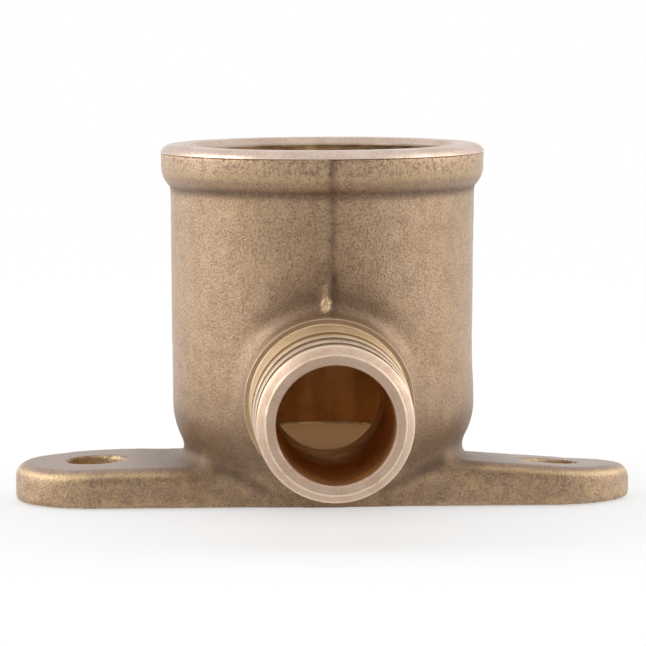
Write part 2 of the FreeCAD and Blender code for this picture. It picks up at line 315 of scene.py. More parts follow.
# %% Surface net
def surface_net(field, low, high, cell):
    """Vertices and quads of the surface where the field is zero."""
    axes = [np.arange(a, b + cell, cell) for a, b in zip(low, high)]
    value = field(*np.meshgrid(*axes, indexing="ij"))
    cubes = tuple(n - 1 for n in value.shape)
    total, count, crossings = np.zeros(cubes + (3,)), np.zeros(cubes), []
    for axis in range(3):
        start = np.take(value, range(cubes[axis]), axis)
        end = np.take(value, range(1, cubes[axis] + 1), axis)
        crosses = (start < 0) != (end < 0)
        where = np.argwhere(crosses)
        at = where.astype(float)
        at[:, axis] += start[crosses] / (start[crosses] - end[crosses])
        around = []
        others = [other for other in range(3) if other != axis]
        for one, two in ((1, 1), (0, 1), (0, 0), (1, 0)):
            cube = where.copy()
            cube[:, others[0]] -= one
            cube[:, others[1]] -= two
            np.add.at(total, tuple(cube.T), at)
            np.add.at(count, tuple(cube.T), 1)
            around.append(cube)
        flip = (start[crosses] < 0) ^ (axis == 1)
        crossings.append((around, flip))
    index = np.cumsum(count.ravel() > 0).reshape(cubes) - 1
    vertices = np.array(low) + cell * (total / np.maximum(count, 1)[..., None])[count > 0]
    quads = []
    for around, flip in crossings:
        quad = np.stack([index[tuple(cube.T)] for cube in around], axis=1)
        quads.append(np.where(flip[:, None], quad, quad[:, ::-1]))
    return vertices, np.concatenate(quads)


CELL = 0.315
margin = 3 * CELL
skin_low = np.array([low[0], SHOULDER, 0.0]) - margin
skin_high = np.array([high[0], high[1], RIM_EDGE]) + margin
points, quads = surface_net(casting_field, skin_low, skin_high, CELL)
print(f"cast skin: {len(points)} vertices, {len(quads)} quads")

# %% Settle the net on the skin
REACH = 0.01
LONGEST_STEP, LEAST_SLOPE = 0.15, 0.25


def slope_of(field, points):
    """Direction in which the field grows fastest, at each point."""
    steps = REACH * np.eye(3)
    rises = [field(*(points + step).T) - field(*(points - step).T) for step in steps]
    return np.stack(rises, axis=1) / (2 * REACH)


def settle(field, points, rounds=5):
    """Move points along the slope until they lie on the surface."""
    for _ in range(rounds):
        slope = slope_of(field, points)
        step = field(*points.T) / np.maximum((slope ** 2).sum(axis=1), LEAST_SLOPE)
        points = points - np.clip(step, -LONGEST_STEP, LONGEST_STEP)[:, None] * slope
    return points


points = settle(casting_field, points)
print(f"farthest vertex from the skin: {np.abs(casting_field(*points.T)).max():.3f} mm")

# %% [markdown]
# ## Where metal wears, and where shade and highlights are painted
# Four measures go along with the vertices, and the finish reads them later: how hollow a place is, how
# worn its edge, how much it lies in the shade of other metal, and how flat a top it is. The hollows, the
# shade and the flat tops get painted shade in the finish, and the edges get wear and painted highlights.
# The field gives most of that. A probe pushed out of the skin meets metal above a hollow, and one pushed
# into it comes close to the air at an edge. More is added in certain places: painted shade beside the
# seam's step and along the boss's flanks, painted shade with some dirt under the collar, and painted
# highlights on the fin, the collar's bead and the ears' upper edges.
# Masks like these can be painted by hand as well, but a measure follows the shape when a size changes.

# %% Bores and worn edges
PROBE, ON_WALL, NEAR_HOLE, PLAIN_FOOT = 0.9, 0.12, 0.6, 1.3
FIN_HIGHLIGHT, COLLAR_BEAD_LIGHT, EAR_HIGHLIGHT, EAR_END_HIGHLIGHT, HOLE_WEAR = 0.9, 0.36, 0.40, 0.1, 0.38
EAR_FROM, EAR_FULL, EAR_END_FROM, EAR_END = 10.5, 13.5, 18.0, 22.0
x, y, z = points.T
normals = slope_of(casting_field, points)
normals /= np.linalg.norm(normals, axis=1, keepdims=True)
from_hole = np.abs(np.hypot(np.abs(x) - HOLE_X, y) - HOLE_RADIUS)
in_hole = (from_hole < ON_WALL) & (z < ear_top(x, y) - 0.1)
bored = (np.abs(bore_field(x, y, z)) < ON_WALL) | in_hole
on_fin = fin_field(x, y, z) < ON_WALL / 2
# Convex edges are worn bright; the fin, the collar's bead and the ears' edges also get painted highlights.
edge = np.clip(1 + outer_field(*(points - PROBE * normals).T) / PROBE, 0, 1)
edge[bored | (z < PLAIN_FOOT) | (z > RIM_EDGE - PROBE) | (from_hole < NEAR_HOLE)] = 0
# The fin gets a painted highlight along its ridge.
edge[on_fin] = FIN_HIGHLIGHT
# A painted light band along the collar's bead.
edge += COLLAR_BEAD_LIGHT * hump(z, COLLAR_LIP - 0.45, 0.5) * ~bored
# Painted highlights along the ears' upper edges, stronger towards their ends.
ear_highlight = hump(normals[:, 2], 0.55, 0.22) * (np.abs(z - 2.6) < 1.1)
ear_highlight *= ramp(np.abs(x), EAR_FROM, EAR_FULL)
ear_highlight *= EAR_HIGHLIGHT + EAR_END_HIGHLIGHT * ramp(np.abs(x), EAR_END_FROM, EAR_END)
edge += ear_highlight * ~bored * (from_hole > NEAR_HOLE)
edge[in_hole] = HOLE_WEAR
print(f"{bored.sum()} vertices in bores, {(edge > 0.5).sum()} on worn edges")

# %% Painted shade in creases
SEAM_SHADE, COLLAR_SEAM_SHADE, UNDER_COLLAR_SHADE_AND_DIRT, FLANK_SHADE = 0.40, 0.44, 0.44, 0.34
FRONT, SEAM_OUT = -4.0, 8.0
SEAM_SHADE_X, DARK_BAND_WIDTH = 0.22, 0.38
FLANK_X, FLANK_Z, FLANK_RISE, FLANK_WIDTH = 3.6, 0.85, 0.49, 0.8
FLANK_RUN, FLANK_IN, FLANK_OUT = 8.6, 1.5, 2.5
# Painted shade in creases: the colour darkens where a probe pushed out of the skin meets metal.
hollow = np.clip(1 - casting_field(*(points + PROBE * normals).T) / PROBE, 0, 1)
# Painted shade on the right of the seam's step, where the left half stands proud.
seam_shade = hump(off_seam(x, z), SEAM_SHADE_X, DARK_BAND_WIDTH) * (np.abs(y) > SEAM_OUT) * (z > PLATE_THICK) * ~on_fin
seam_shade *= np.where(z < COLLAR_ROOT, SEAM_SHADE, COLLAR_SEAM_SHADE)
# Painted shade with some dirt, in a band just under the collar.
under_collar_shade_and_dirt = UNDER_COLLAR_SHADE_AND_DIRT * hump(z, COLLAR_ROOT + 0.05, DARK_BAND_WIDTH)
# Painted shade along the diagonal creases on the front, between the body's foot and the boss.
beyond = np.abs(x) - FLANK_X
flank_shade = FLANK_SHADE * hump(z, FLANK_Z + FLANK_RISE * beyond, FLANK_WIDTH) * (y < FRONT)
flank_shade *= ramp(beyond, 0, FLANK_IN) * ramp(beyond, FLANK_RUN, FLANK_RUN - FLANK_OUT)
hollow = np.maximum.reduce([hollow, seam_shade, under_collar_shade_and_dirt, flank_shade]) * ~bored
print(f"{(hollow > 0.3).sum()} vertices in creases")

# %% Painted shade around the boss, low down and on flat tops
FAR_REACH, NEAR_REACH = 4.5, 2.2
FOOT_SHADE, FOOT_Z, FOOT_WIDTH, FOOT_START, FOOT_FULL = 0.6, 6.5, 3.5, 2.6, 3.6
SPIGOT_SHADE, SHADE_WIDTH, SHADE_TOP, SHADE_FULL = 0.9, 7.0, 4.8, 0.8


def closeness(reach):
    """How much other metal is within reach in front of the skin, from 0 to 1."""
    return np.clip(1 - outer_field(*(points + reach * normals).T) / reach, 0, 1)


def spread(values, rounds):
    """Even out a measure over neighbouring points of the net."""
    for _ in range(rounds):
        total = np.bincount(quads.ravel(), np.repeat(values[quads].mean(axis=1), 4), len(points))
        values = total / np.bincount(quads.ravel(), minlength=len(points))
    return values


around_boss = 0.5 * ramp(closeness(FAR_REACH), 0, 0.4) + ramp(closeness(NEAR_REACH), 0, 0.12)
foot = FOOT_SHADE * hump(z, FOOT_Z, FOOT_WIDTH) * ramp(z, FOOT_START, FOOT_FULL)
below_spigot = np.minimum(ramp(z, SHADE_TOP, SHADE_FULL), SPIGOT_SHADE) * (y < FRONT)
below_spigot *= hump(x, 0, SHADE_WIDTH)
shade = np.clip(around_boss + foot + below_spigot, 0, 1) * ~bored
shade = spread(shade, 4) * ~on_fin
hollow = spread(hollow, 1) * ~in_hole
# The plate's flat tops, where the colour gets painted shade.
flat = ramp(normals[:, 2], 0.7, 0.95) * (z < PLATE_THICK + 0.3) * ~bored
print(f"{(shade > 0.5).sum()} vertices in shade, {(flat > 0.5).sum()} on flat tops")

# %% [markdown]
# ## Sand grain in the skin
# The mould's sand prints itself on the metal as lumps and grains. The finest can be left to bump, but
# the larger ones also roughen the outline, so they are cut into the mesh. They go inwards only, so the
# casting never outgrows its CAD box. Bores and the ground wall face stay plain, and the print fades
# out towards the turned rim.

# %% Sand grain
GRAIN_DEPTH, GRAIN_FADE = 0.06, 0.6


def sand(point):
    """Depth of the sand's print at a point, from 0 to 1."""
    lumps = noise.noise(Vector(point * 0.22)) * 0.5
    clods = noise.noise(Vector(point * 0.75)) * 0.25
    grains = noise.noise(Vector(point * 2.1)) * 0.3
    return min(max(0.5 + lumps + clods + grains, 0.0), 1.0)


depth = GRAIN_DEPTH * np.array([sand(point) for point in points])
depth *= ramp(z, RIM_EDGE, RIM_EDGE - GRAIN_FADE)
depth[bored | (z < 0.02)] = 0
points = np.clip(points - depth[:, None] * normals, low, high)
print(f"grain up to {depth.max():.3f} mm deep")

# %% [markdown]
# ## A clean corner in the chamber
# A surface net cuts across sharp corners. Most are hidden or rounded anyway, but the edge of the
# chamber's floor is seen through the spigot, so the vertices beside it are moved onto it. That edge also
# gets painted shade.

# %% Corner of the chamber's floor
CORNER_REACH = 0.55 * CELL
CORNER_SHADE = 0.5
from_axis = np.hypot(points[:, 0], points[:, 1])
from_corner = np.hypot(from_axis - CHAMBER_RADIUS, points[:, 2] - CHAMBER_FLOOR)
in_corner = bored & (from_corner < CORNER_REACH)
points[in_corner, :2] *= (CHAMBER_RADIUS / from_axis[in_corner])[:, None]
points[in_corner, 2] = CHAMBER_FLOOR
# Painted shade along the floor's edge.
hollow[in_corner] = CORNER_SHADE
print(in_corner.sum(), "vertices on the floor's edge")

# %% [markdown]
# ## Lathe work
# A turned surface is a profile swept round an axis, so one helper makes them all. It takes the rows of
# a closed profile and a radius for every angle, which lets a screw thread wind through the same rows.
# Blender's Screw modifier could sweep a profile too, but not with a radius that changes on the way.

# %% Lathe
def lathe(along, radius, steps):
    """Sweep a closed profile round Z. radius has one number per row, or one per row and angle."""
    angle = np.linspace(0, 2 * np.pi, steps, endpoint=False)
    rows = len(along)
    radius = np.broadcast_to(np.reshape(radius, (rows, -1)), (rows, steps))
    height = np.broadcast_to(np.reshape(along, (rows, 1)), (rows, steps))
    swept = np.stack([radius * np.cos(angle), radius * np.sin(angle), height], axis=2).reshape(-1, 3)
    row, turn = np.meshgrid(np.arange(rows), np.arange(steps), indexing="ij")
    next_row, next_turn = (row + 1) % rows, (turn + 1) % steps
    corners = ((row, turn), (row, next_turn), (next_row, next_turn), (next_row, turn))
    faces = np.stack([r * steps + t for r, t in corners], axis=2).reshape(-1, 4)
    return swept, faces


print("a ring of 4 rows and 6 steps has", len(lathe(np.zeros(4), np.ones(4), 6)[1]), "quads")

# %% Lines and arcs of a profile
def polyline(corners, spacing):
    """Points along an open profile, with every corner kept and no gap over the spacing."""
    out = []
    for start, end in zip(corners, corners[1:]):
        start, end = np.array(start), np.array(end)
        pieces = max(1, math.ceil(np.linalg.norm(end - start) / spacing))
        out += [start + (end - start) * n / pieces for n in range(pieces)]
    return np.array(out + [corners[-1]])


def arc(start, end, radius, pieces):
    """Points of the arc from start to end that bulges to the right of the way there."""
    start, end = np.array(start), np.array(end)
    chord = end - start
    half = np.linalg.norm(chord) / 2
    left = np.array([-chord[1], chord[0]]) / (2 * half)
    centre = (start + end) / 2 + left * math.sqrt(radius ** 2 - half ** 2)
    first, last = (math.atan2(*(p - centre)[::-1]) for p in (start, end))
    turn = (last - first) % (2 * math.pi)
    return [tuple(centre + radius * np.array([math.cos(a), math.sin(a)]))
            for a in first + turn * np.linspace(0, 1, pieces + 1)]


print("a quarter turn in 3 pieces has", len(arc((1, 0), (0, 1), 1.0, 3)), "points")

# %% [markdown]
# ## Turned rim and thread
# The rim is faced flat, rounded outside and bevelled into the mouth. Below the bevel a right-handed
# pipe thread runs down to the chamber. A thread can be a helix with a swept tooth, but such a sweep
# overlaps itself; lowering the wall's radius by the phase of the screw keeps one clean skin.

# %% Profile of the rim
RIM_ROUND_WIDTH, RIM_ROUND = 0.9, 0.97
RIM_SPACING = 0.2
BEVEL_END = SOCKET_TOP - BEVEL_DEPTH
CONE_END, RING_END = THREAD_END - 1.35, THREAD_END - 1.6
hidden_wall = THREAD_RADIUS + RING_WALL + 0.25
outside = arc((COLLAR_RADIUS, RIM_EDGE), (COLLAR_RADIUS - RIM_ROUND_WIDTH, SOCKET_TOP), RIM_ROUND, 10)
inside = [
    (MOUTH_RADIUS + 0.05, SOCKET_TOP), (MOUTH_RADIUS, SOCKET_TOP - 0.03),
    (THREAD_RADIUS, BEVEL_END), (THREAD_RADIUS, THREAD_END),
    (CHAMBER_RADIUS, CONE_END), (CHAMBER_RADIUS - 0.02, RING_END)]
buried = [
    (hidden_wall, RING_END), (hidden_wall, RIM_EDGE - 0.6),
    (COLLAR_RADIUS - 0.3, RIM_EDGE - 0.05), (COLLAR_RADIUS - 0.04, RIM_EDGE - 0.03)]
rim_rows = np.concatenate([polyline(outside + inside, RIM_SPACING), buried])
print("rim profile:", len(rim_rows), "rows")

# %% Thread in the mouth
RIM_STEPS = 144
TOOTH_TOP, TOOTH_SLOPE = 1.15, 2.6
angle = np.linspace(0, 2 * np.pi, RIM_STEPS, endpoint=False)
radius, height = rim_rows[:, :1], rim_rows[:, 1:]
threaded = (radius < MOUTH_RADIUS) & (height > THREAD_END - 0.9)
run_out = ramp(height, THREAD_END - 0.4, THREAD_END + 1.2)
phase = (height / THREAD_PITCH - angle / (2 * np.pi)) % 1
tooth = np.clip(TOOTH_TOP - TOOTH_SLOPE * np.abs(phase - 0.5), 0, 1)
countersink = MOUTH_RADIUS - (SOCKET_TOP - height) * (MOUTH_RADIUS - THREAD_RADIUS) / BEVEL_DEPTH
wall = np.minimum(radius, np.maximum(THREAD_RADIUS - THREAD_DEPTH * tooth * run_out, countersink))
rim_points, rim_quads = lathe(rim_rows[:, 1], np.where(threaded, wall, radius), RIM_STEPS)
rim_points[:, 0] += TILT * (rim_points[:, 2] - TILT_Z)
print(f"rim and thread: {len(rim_quads)} quads, {threaded.sum()} threaded rows")

# %% [markdown]
# ## Turned spigot
# The spigot is turned in one pass: a flat shoulder, a plain land for the crimp ring, three barbs that
# fall off behind and slope in front, a bevelled nose and a flat end with the waterway through it.
# The profile is drawn by its radius and its reach along -Y, swept about Z and then laid down.

# %% Sizes of the spigot
SHOULDER_REACH, TIP_REACH, ROOT_REACH = -SHOULDER, -TIP, 12.0
LAND_LENGTH, BARB_PITCH, BARBS = 5.4, 3.3, 3
GROOVE_WIDTH, GROOVE_SLANT, GROOVE_DEPTH = 1.9, 0.35, 0.4
NOSE_RADIUS, TIP_RADIUS, NOSE_LENGTH = 6.1, 5.4, 1.0
BURR, BREAK = 0.03, 0.12
SPIGOT_SPACING = 0.45
land_end = SHOULDER_REACH + LAND_LENGTH
nose_start = TIP_REACH - NOSE_LENGTH


def barb_radius(reach):
    """Radius of the barbs' crests, which fall a little towards the nose."""
    return LAND_RADIUS + (NOSE_RADIUS - LAND_RADIUS) * (reach - land_end) / (nose_start - land_end)


print(f"land ends at {land_end:.2f} mm, nose starts at {nose_start:.2f} mm")

# %% Profile of the spigot
spigot = [
    (LAND_RADIUS - 0.5, ROOT_REACH), (LAND_RADIUS - 0.5, SHOULDER_REACH - 0.5),
    (BOSS_RADIUS - 0.02, SHOULDER_REACH - 0.15), (BOSS_RADIUS, SHOULDER_REACH - 0.05),
    (BOSS_RADIUS - 0.05, SHOULDER_REACH), (LAND_RADIUS + BREAK, SHOULDER_REACH),
    (LAND_RADIUS, SHOULDER_REACH + BREAK), (LAND_RADIUS, land_end - BURR)]
for barb in range(BARBS):
    back = land_end + barb * BARB_PITCH
    front = back + GROOVE_WIDTH
    bottom = LAND_RADIUS - GROOVE_DEPTH
    spigot += [
        (barb_radius(back) - BURR, back), (bottom + 2 * BURR, back), (bottom, back + 2 * BURR),
        (bottom, front - GROOVE_SLANT), (barb_radius(front) - BURR, front),
        (barb_radius(front), front + BURR)]
    if barb < BARBS - 1:
        spigot.append((barb_radius(back + BARB_PITCH), back + BARB_PITCH - BURR))
spigot += [
    (NOSE_RADIUS, nose_start), (TIP_RADIUS + BREAK, TIP_REACH - 0.15),
    (TIP_RADIUS + BURR, TIP_REACH - BURR), (TIP_RADIUS - 0.02, TIP_REACH),
    (TIP_RADIUS - BREAK, TIP_REACH), (WATER_RADIUS + 0.2, TIP_REACH),
    (WATER_RADIUS + 0.05, TIP_REACH - BREAK), (WATER_RADIUS, TIP_REACH - 0.3),
    (WATER_RADIUS, ROOT_REACH)]
spigot_rows = np.concatenate([spigot[:1], polyline(spigot[1:-1], SPIGOT_SPACING), spigot[-1:]])
print("spigot profile:", len(spigot_rows), "rows")

# %% Sweep the spigot
SPIGOT_STEPS = 128
lying, spigot_quads = lathe(spigot_rows[:, 1], spigot_rows[:, 0], SPIGOT_STEPS)
spigot_points = np.stack([lying[:, 0], -lying[:, 2], lying[:, 1] + SPIGOT_Z], axis=1)
print(f"spigot: {len(spigot_quads)} quads, tip at {spigot_points[:, 1].min():.2f} mm")

# %% [markdown]
# ## Finish, painted shade and painted highlights by row
# A lathe's profile has few rows, so what happens to a surface is told row by row. The thread and the
# barbs' grooves get painted shade, the mouth's bevel and the spigot's shoulder are made a little darker,
# and the tip, the barbs' crests and the rim's lower edge get painted highlights.
# Each face also gets a finish: as cast, turned, bored, or cored for the chamber's floor.

# %% Finish of each face
AS_CAST, TURNED, BORED, CORED = range(4)
rim_radius, rim_height = rim_rows.T
spigot_radius, spigot_reach = spigot_rows.T
skin_finish = np.where((bored & ~in_hole)[quads].sum(axis=1) >= 2, BORED, AS_CAST)
cored = bored & (np.abs(points[:, 2] - CHAMBER_FLOOR) < 0.03)
skin_finish[cored[quads].all(axis=1)] = CORED
in_mouth = (rim_radius < MOUTH_RADIUS) & (rim_height < BEVEL_END)
rim_finish = np.repeat(np.where(in_mouth, BORED, TURNED), RIM_STEPS)
in_water = (spigot_radius <= WATER_RADIUS) & (spigot_reach < TIP_REACH - 0.2)
spigot_finish = np.repeat(np.where(in_water, BORED, TURNED), SPIGOT_STEPS)
finishes = np.concatenate([skin_finish, rim_finish, spigot_finish]).astype(np.int32)
print("faces by finish:", np.bincount(finishes))

# %% Painted shade and highlights of the turned rows
BEVEL_DARKENING, CREST_RELIEF, GROOVE_SHADE, SHOULDER_DARKENING = 0.18, 0.3, 0.7, 0.3
# Painted shade in the thread, lighter on its crests; the mouth's bevel is made a little darker.
thread_rows = (rim_radius < THREAD_RADIUS + 0.02) & (rim_height < BEVEL_END - 0.1)
bevel_rows = (rim_radius < MOUTH_RADIUS + 0.02) & (rim_height >= BEVEL_END - 0.1)
thread_shade = thread_rows[:, None] * (1 - CREST_RELIEF * tooth * run_out)
rim_darkening = (BEVEL_DARKENING * bevel_rows[:, None] + thread_shade).ravel()
# Painted shade in the barbs' grooves; the spigot's shoulder is made a little darker.
among_barbs = (spigot_reach > land_end - 0.01) & (spigot_reach < nose_start - 0.1)
groove_rows = among_barbs & (spigot_radius > LAND_RADIUS - 0.6) & (spigot_radius < LAND_RADIUS - 0.25)
shoulder_rows = (spigot_radius > LAND_RADIUS + 0.02) & (spigot_reach < SHOULDER_REACH + 0.2)
spigot_darkening = np.repeat(GROOVE_SHADE * groove_rows + SHOULDER_DARKENING * shoulder_rows, SPIGOT_STEPS)
# Painted highlights on the rim's lower edge, the tip and the barbs' crests.
rim_edge_rows = np.hypot(rim_radius - COLLAR_RADIUS, rim_height - RIM_EDGE) < 0.08
rim_edge_highlight = np.repeat(1.0 * rim_edge_rows, RIM_STEPS)
tip_rows = (spigot_reach > TIP_REACH - 0.06) & (spigot_radius > TIP_RADIUS - 0.05)
crests = [reach for radius, reach in spigot if radius > LAND_RADIUS - 0.3 and reach > land_end]
crest_rows = np.isin(spigot_reach, [nose_start] + crests)
spigot_highlight = np.repeat(1.0 * (tip_rows | crest_rows), SPIGOT_STEPS)
print(groove_rows.sum(), "rows in grooves,", crest_rows.sum(), "on crests")

# %% [markdown]
# ## One piece
# Skin, rim and spigot are surfaces of the same casting, so they become one mesh. It stands for the CAD
# node, which stays behind it for collision. The measures travel along as attributes for the materials.
# Sharp shading is kept for the lathe's corners alone; the cast skin is smooth all over.

# %% Assemble the mesh
first_rim, first_spigot = len(points), len(points) + len(rim_points)
all_points = np.concatenate([points, rim_points, spigot_points])
all_quads = np.concatenate([quads, rim_quads + first_rim, spigot_quads + first_spigot])
mesh = bpy.data.meshes.new("wall_plate_elbow")
mesh.from_pydata((all_points * MM).tolist(), [], all_quads.tolist())
mesh.polygons.foreach_set("material_index", finishes)
mesh.polygons.foreach_set("use_smooth", np.ones(len(all_quads), bool))
clean_rim, clean_spigot = np.zeros(len(rim_points)), np.zeros(len(spigot_points))
measures = {
    "hollow": [hollow, rim_darkening, spigot_darkening],
    "edge": [edge, rim_edge_highlight, spigot_highlight],
    "shade": [shade, clean_rim, clean_spigot],
    "flat": [flat, clean_rim, clean_spigot],
}
for name, values in measures.items():
    mesh.attributes.new(name, "FLOAT", "POINT").data.foreach_set("value", np.concatenate(values))
print("mesh is whole:", not mesh.validate(), "with", len(mesh.polygons), "quads")

# %% Crisp corners where the lathe leaves them
CRISP_ANGLE = math.radians(28)
mesh.set_sharp_from_angle(angle=CRISP_ANGLE)
ends = np.zeros(len(mesh.edges) * 2, np.int32)
mesh.edges.foreach_get("vertices", ends)
on_skin = ends.reshape(-1, 2).max(axis=1) < first_rim
sharp = mesh.attributes["sharp_edge"].data
marked = np.zeros(len(mesh.edges), bool)
sharp.foreach_get("value", marked)
sharp.foreach_set("value", marked & ~on_skin)
print("sharp edges on turned faces:", int((marked & ~on_skin).sum()))

# %% Put the piece in the frame
elbow = bpy.data.objects.new("wall_plate_elbow", mesh)
bpy.context.scene.collection.objects.link(elbow)
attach(elbow, "root")
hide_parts("elbow_body")
print("piece:", elbow.name)

# %% [markdown]
# ## Shader maths as Python
# Node trees are easier to read as sums than as wires. A small class wraps a node's output, and its
# operators add the Math nodes. Every other node comes from one method, which sets the node's own
# settings first and then its sockets.

# %% Wires
class Wire:
    """An output socket in a node tree. Operators on it add Math nodes."""

    def __init__(self, tree, socket):
        self.tree = tree
        self.socket = socket

    def node(self, kind, settings=None, sockets=None, output=0):
        made = self.tree.nodes.new(kind)
        for key, value in (settings or {}).items():
            setattr(made, key, value)
        for key, value in (sockets or {}).items():
            if isinstance(value, Wire):
                self.tree.links.new(value.socket, made.inputs[key])
            else:
                made.inputs[key].default_value = value
        return Wire(self.tree, made.outputs[output])

    def math(self, operation, first, second=0.0):
        return self.node("ShaderNodeMath", {"operation": operation}, {0: first, 1: second})

    def __add__(self, other):
        return self.math("ADD", self, other)

    def __sub__(self, other):
        return self.math("SUBTRACT", self, other)

    def __rsub__(self, other):
        return self.math("SUBTRACT", other, self)

    def __mul__(self, other):
        return self.math("MULTIPLY", self, other)

    __radd__ = __add__
    __rmul__ = __mul__

    def between(self, low, high):
        """0 below low, 1 above high, and smooth in between."""
        return self.node("ShaderNodeMapRange", {"interpolation_type": "SMOOTHSTEP"},
                         {"Value": self, "From Min": low, "From Max": high})

    def tint(self, first, second):
        """A colour that goes from first to second as this value goes from 0 to 1."""
        return self.node("ShaderNodeMix", {"data_type": "RGBA"}, {0: self, 6: first, 7: second}, output=2)

    def parts(self):
        """The X, Y and Z of a vector."""
        apart = self.node("ShaderNodeSeparateXYZ", {}, {0: self})
        return [Wire(self.tree, socket) for socket in apart.socket.node.outputs]


print("wires ready:", Wire.__doc__)

# %% Colours, materials and noise
def srgb(red, green, blue):
    """A colour picked on the screen, as the linear light that a shader wants."""
    return tuple(((c / 255 + 0.055) / 1.055) ** 2.4 for c in (red, green, blue)) + (1.0,)


def new_finish(name):
    """A material with a Principled shader, and a wire at the point on the object."""
    material = bpy.data.materials.new(name)
    material.use_nodes = True
    tree = material.node_tree
    shader = tree.nodes["Principled BSDF"]
    shader.inputs["Metallic"].default_value = 1.0
    place = Wire(tree, tree.nodes.new("ShaderNodeTexCoord").outputs["Object"])
    return material, shader, place


def feed(shader, **wires):
    for name, wire in wires.items():
        wire.tree.links.new(wire.socket, shader.inputs[name.replace("_", " ")])


def cloud(place, size_mm, detail=3.0, rough=0.55):
    """Noise with lumps of about this size."""
    return place.node("ShaderNodeTexNoise", {}, {
        "Vector": place, "Scale": 1 / (size_mm * MM), "Detail": detail, "Roughness": rough})


def measure(place, name):
    """One of the mesh's own measures."""
    return place.node("ShaderNodeAttribute", {"attribute_name": name}, output=2)


print("mid brass in linear light:", [round(c, 3) for c in srgb(165, 138, 105)[:3]])

# %% [markdown]
# ## Cast finish
# Cast brass comes out of the sand dull and mottled: tan where tumbling has rubbed the grain's tops,
# bronze-brown in its hollows and bright gold on the worn edges. Noise of several sizes gives clouds,
# mottle and grain. Low down and on the collar, where castings knock together, it also gives rubbed
# patches and brown blotches; denser dark specks near the middle are painted shade of the grain. The
# mesh's own measures give painted shade in the creases, beside the seam, around the boss and on the
# flat tops, some dirt under the collar, and the worn edges with painted highlights on the fin, the
# collar's bead and the ears' edges.
# A painted texture would need the skin laid out flat, and noise in space needs no such layout.

# %% As-cast brass: the grain
cast, shader, place = new_finish("as_cast_brass")
x, y, z = place.parts()
clouds = cloud(place, 8.0).between(0.3, 0.7)
mottle = cloud(place, 1.4, detail=3.0, rough=0.6)
grain = cloud(place, 0.20, detail=2.0, rough=0.7)
tan = clouds.tint(srgb(190, 160, 126), srgb(201, 172, 143))
sanded = (0.7 * grain + 0.3 * mottle).between(0.34, 0.62)
skin = sanded.tint(srgb(160, 131, 103), tan)
print("grain of the casting:", len(cast.node_tree.nodes), "nodes")

# %% As-cast brass: patches and blotches
on_collar = z.between(COLLAR_ROOT * MM, COLLAR_LIP * MM)
on_plate = 1 - z.between(3.0 * MM, 9.0 * MM)
blotches = cloud(place, 0.35, detail=3.0, rough=0.7).between(0.47, 0.64)
rubbed = cloud(place, 1.1, detail=4.0, rough=0.65).between(0.48, 0.62)
skin = (on_collar * 0.4).tint(skin, srgb(222, 192, 160))
skin = (rubbed * on_plate * 0.5).tint(skin, srgb(214, 181, 134))
skin = (blotches * (0.55 * on_collar + 0.32 * on_plate)).tint(skin, srgb(118, 90, 64))
print("with patches:", len(cast.node_tree.nodes), "nodes")

# %% As-cast brass: wear, specks and dirt
crease_shade_and_dirt_mask = measure(place, "hollow").between(0.07, 0.46)
wear_and_highlight_mask = measure(place, "edge").between(0.12, 0.55)
shade = measure(place, "shade")
# Dark specks of grain, denser near the middle, where they are painted shade of the grain's bumps.
specks = cloud(place, 0.17, detail=1.0).between(0.58, 0.72)
front = 1 - place.math("ABSOLUTE", x).between(3.0 * MM, 11.0 * MM)
# Painted shade on the plate's flat tops, in a lavender grey.
skin = (measure(place, "flat") * 0.7).tint(skin, srgb(154, 135, 127))
# Gold on worn edges, with painted highlights on the fin, the collar's bead and the ears' edges.
skin = (wear_and_highlight_mask * 0.6).tint(skin, srgb(230, 200, 152))
skin = (specks * (0.3 + 0.45 * front)).tint(skin, srgb(112, 86, 62))
skin = (shade * 0.55).tint(skin, srgb(108, 80, 55))
# Painted shade in the creases, beside the seam and along the flanks, with some dirt under the collar.
skin = (crease_shade_and_dirt_mask * 0.7).tint(skin, srgb(92, 68, 48))
roughness = 0.44 + 0.14 * grain - 0.08 * wear_and_highlight_mask + 0.08 * crease_shade_and_dirt_mask + 0.18 * shade
bump = place.node("ShaderNodeBump", {}, {
    "Strength": 0.9, "Distance": 0.12 * MM, "Height": 0.8 * grain + 0.2 * mottle})
shader.inputs["Coat Weight"].default_value = 0.6
shader.inputs["Coat Roughness"].default_value = 0.4
feed(shader, Base_Color=skin, Roughness=roughness, Normal=bump)
print("as-cast finish:", len(cast.node_tree.nodes), "nodes")

# %% [markdown]
# ## Turned and bored finish
# A lathe tool leaves fine rings, all round the axis it turned about. On the rim they follow the
# distance from the socket's axis, and on the spigot the distance along it, so one noise that reads
# only those two lengths draws both. Torn spots mottle the turned faces. The bore is the same metal,
# left duller by the tap and drill.

# %% Turned brass
RINGS_PER_MM = 4.5
SPIGOT_FROM, LAND_FROM, LAND_FADE = 15.0, 16.6, 24.0


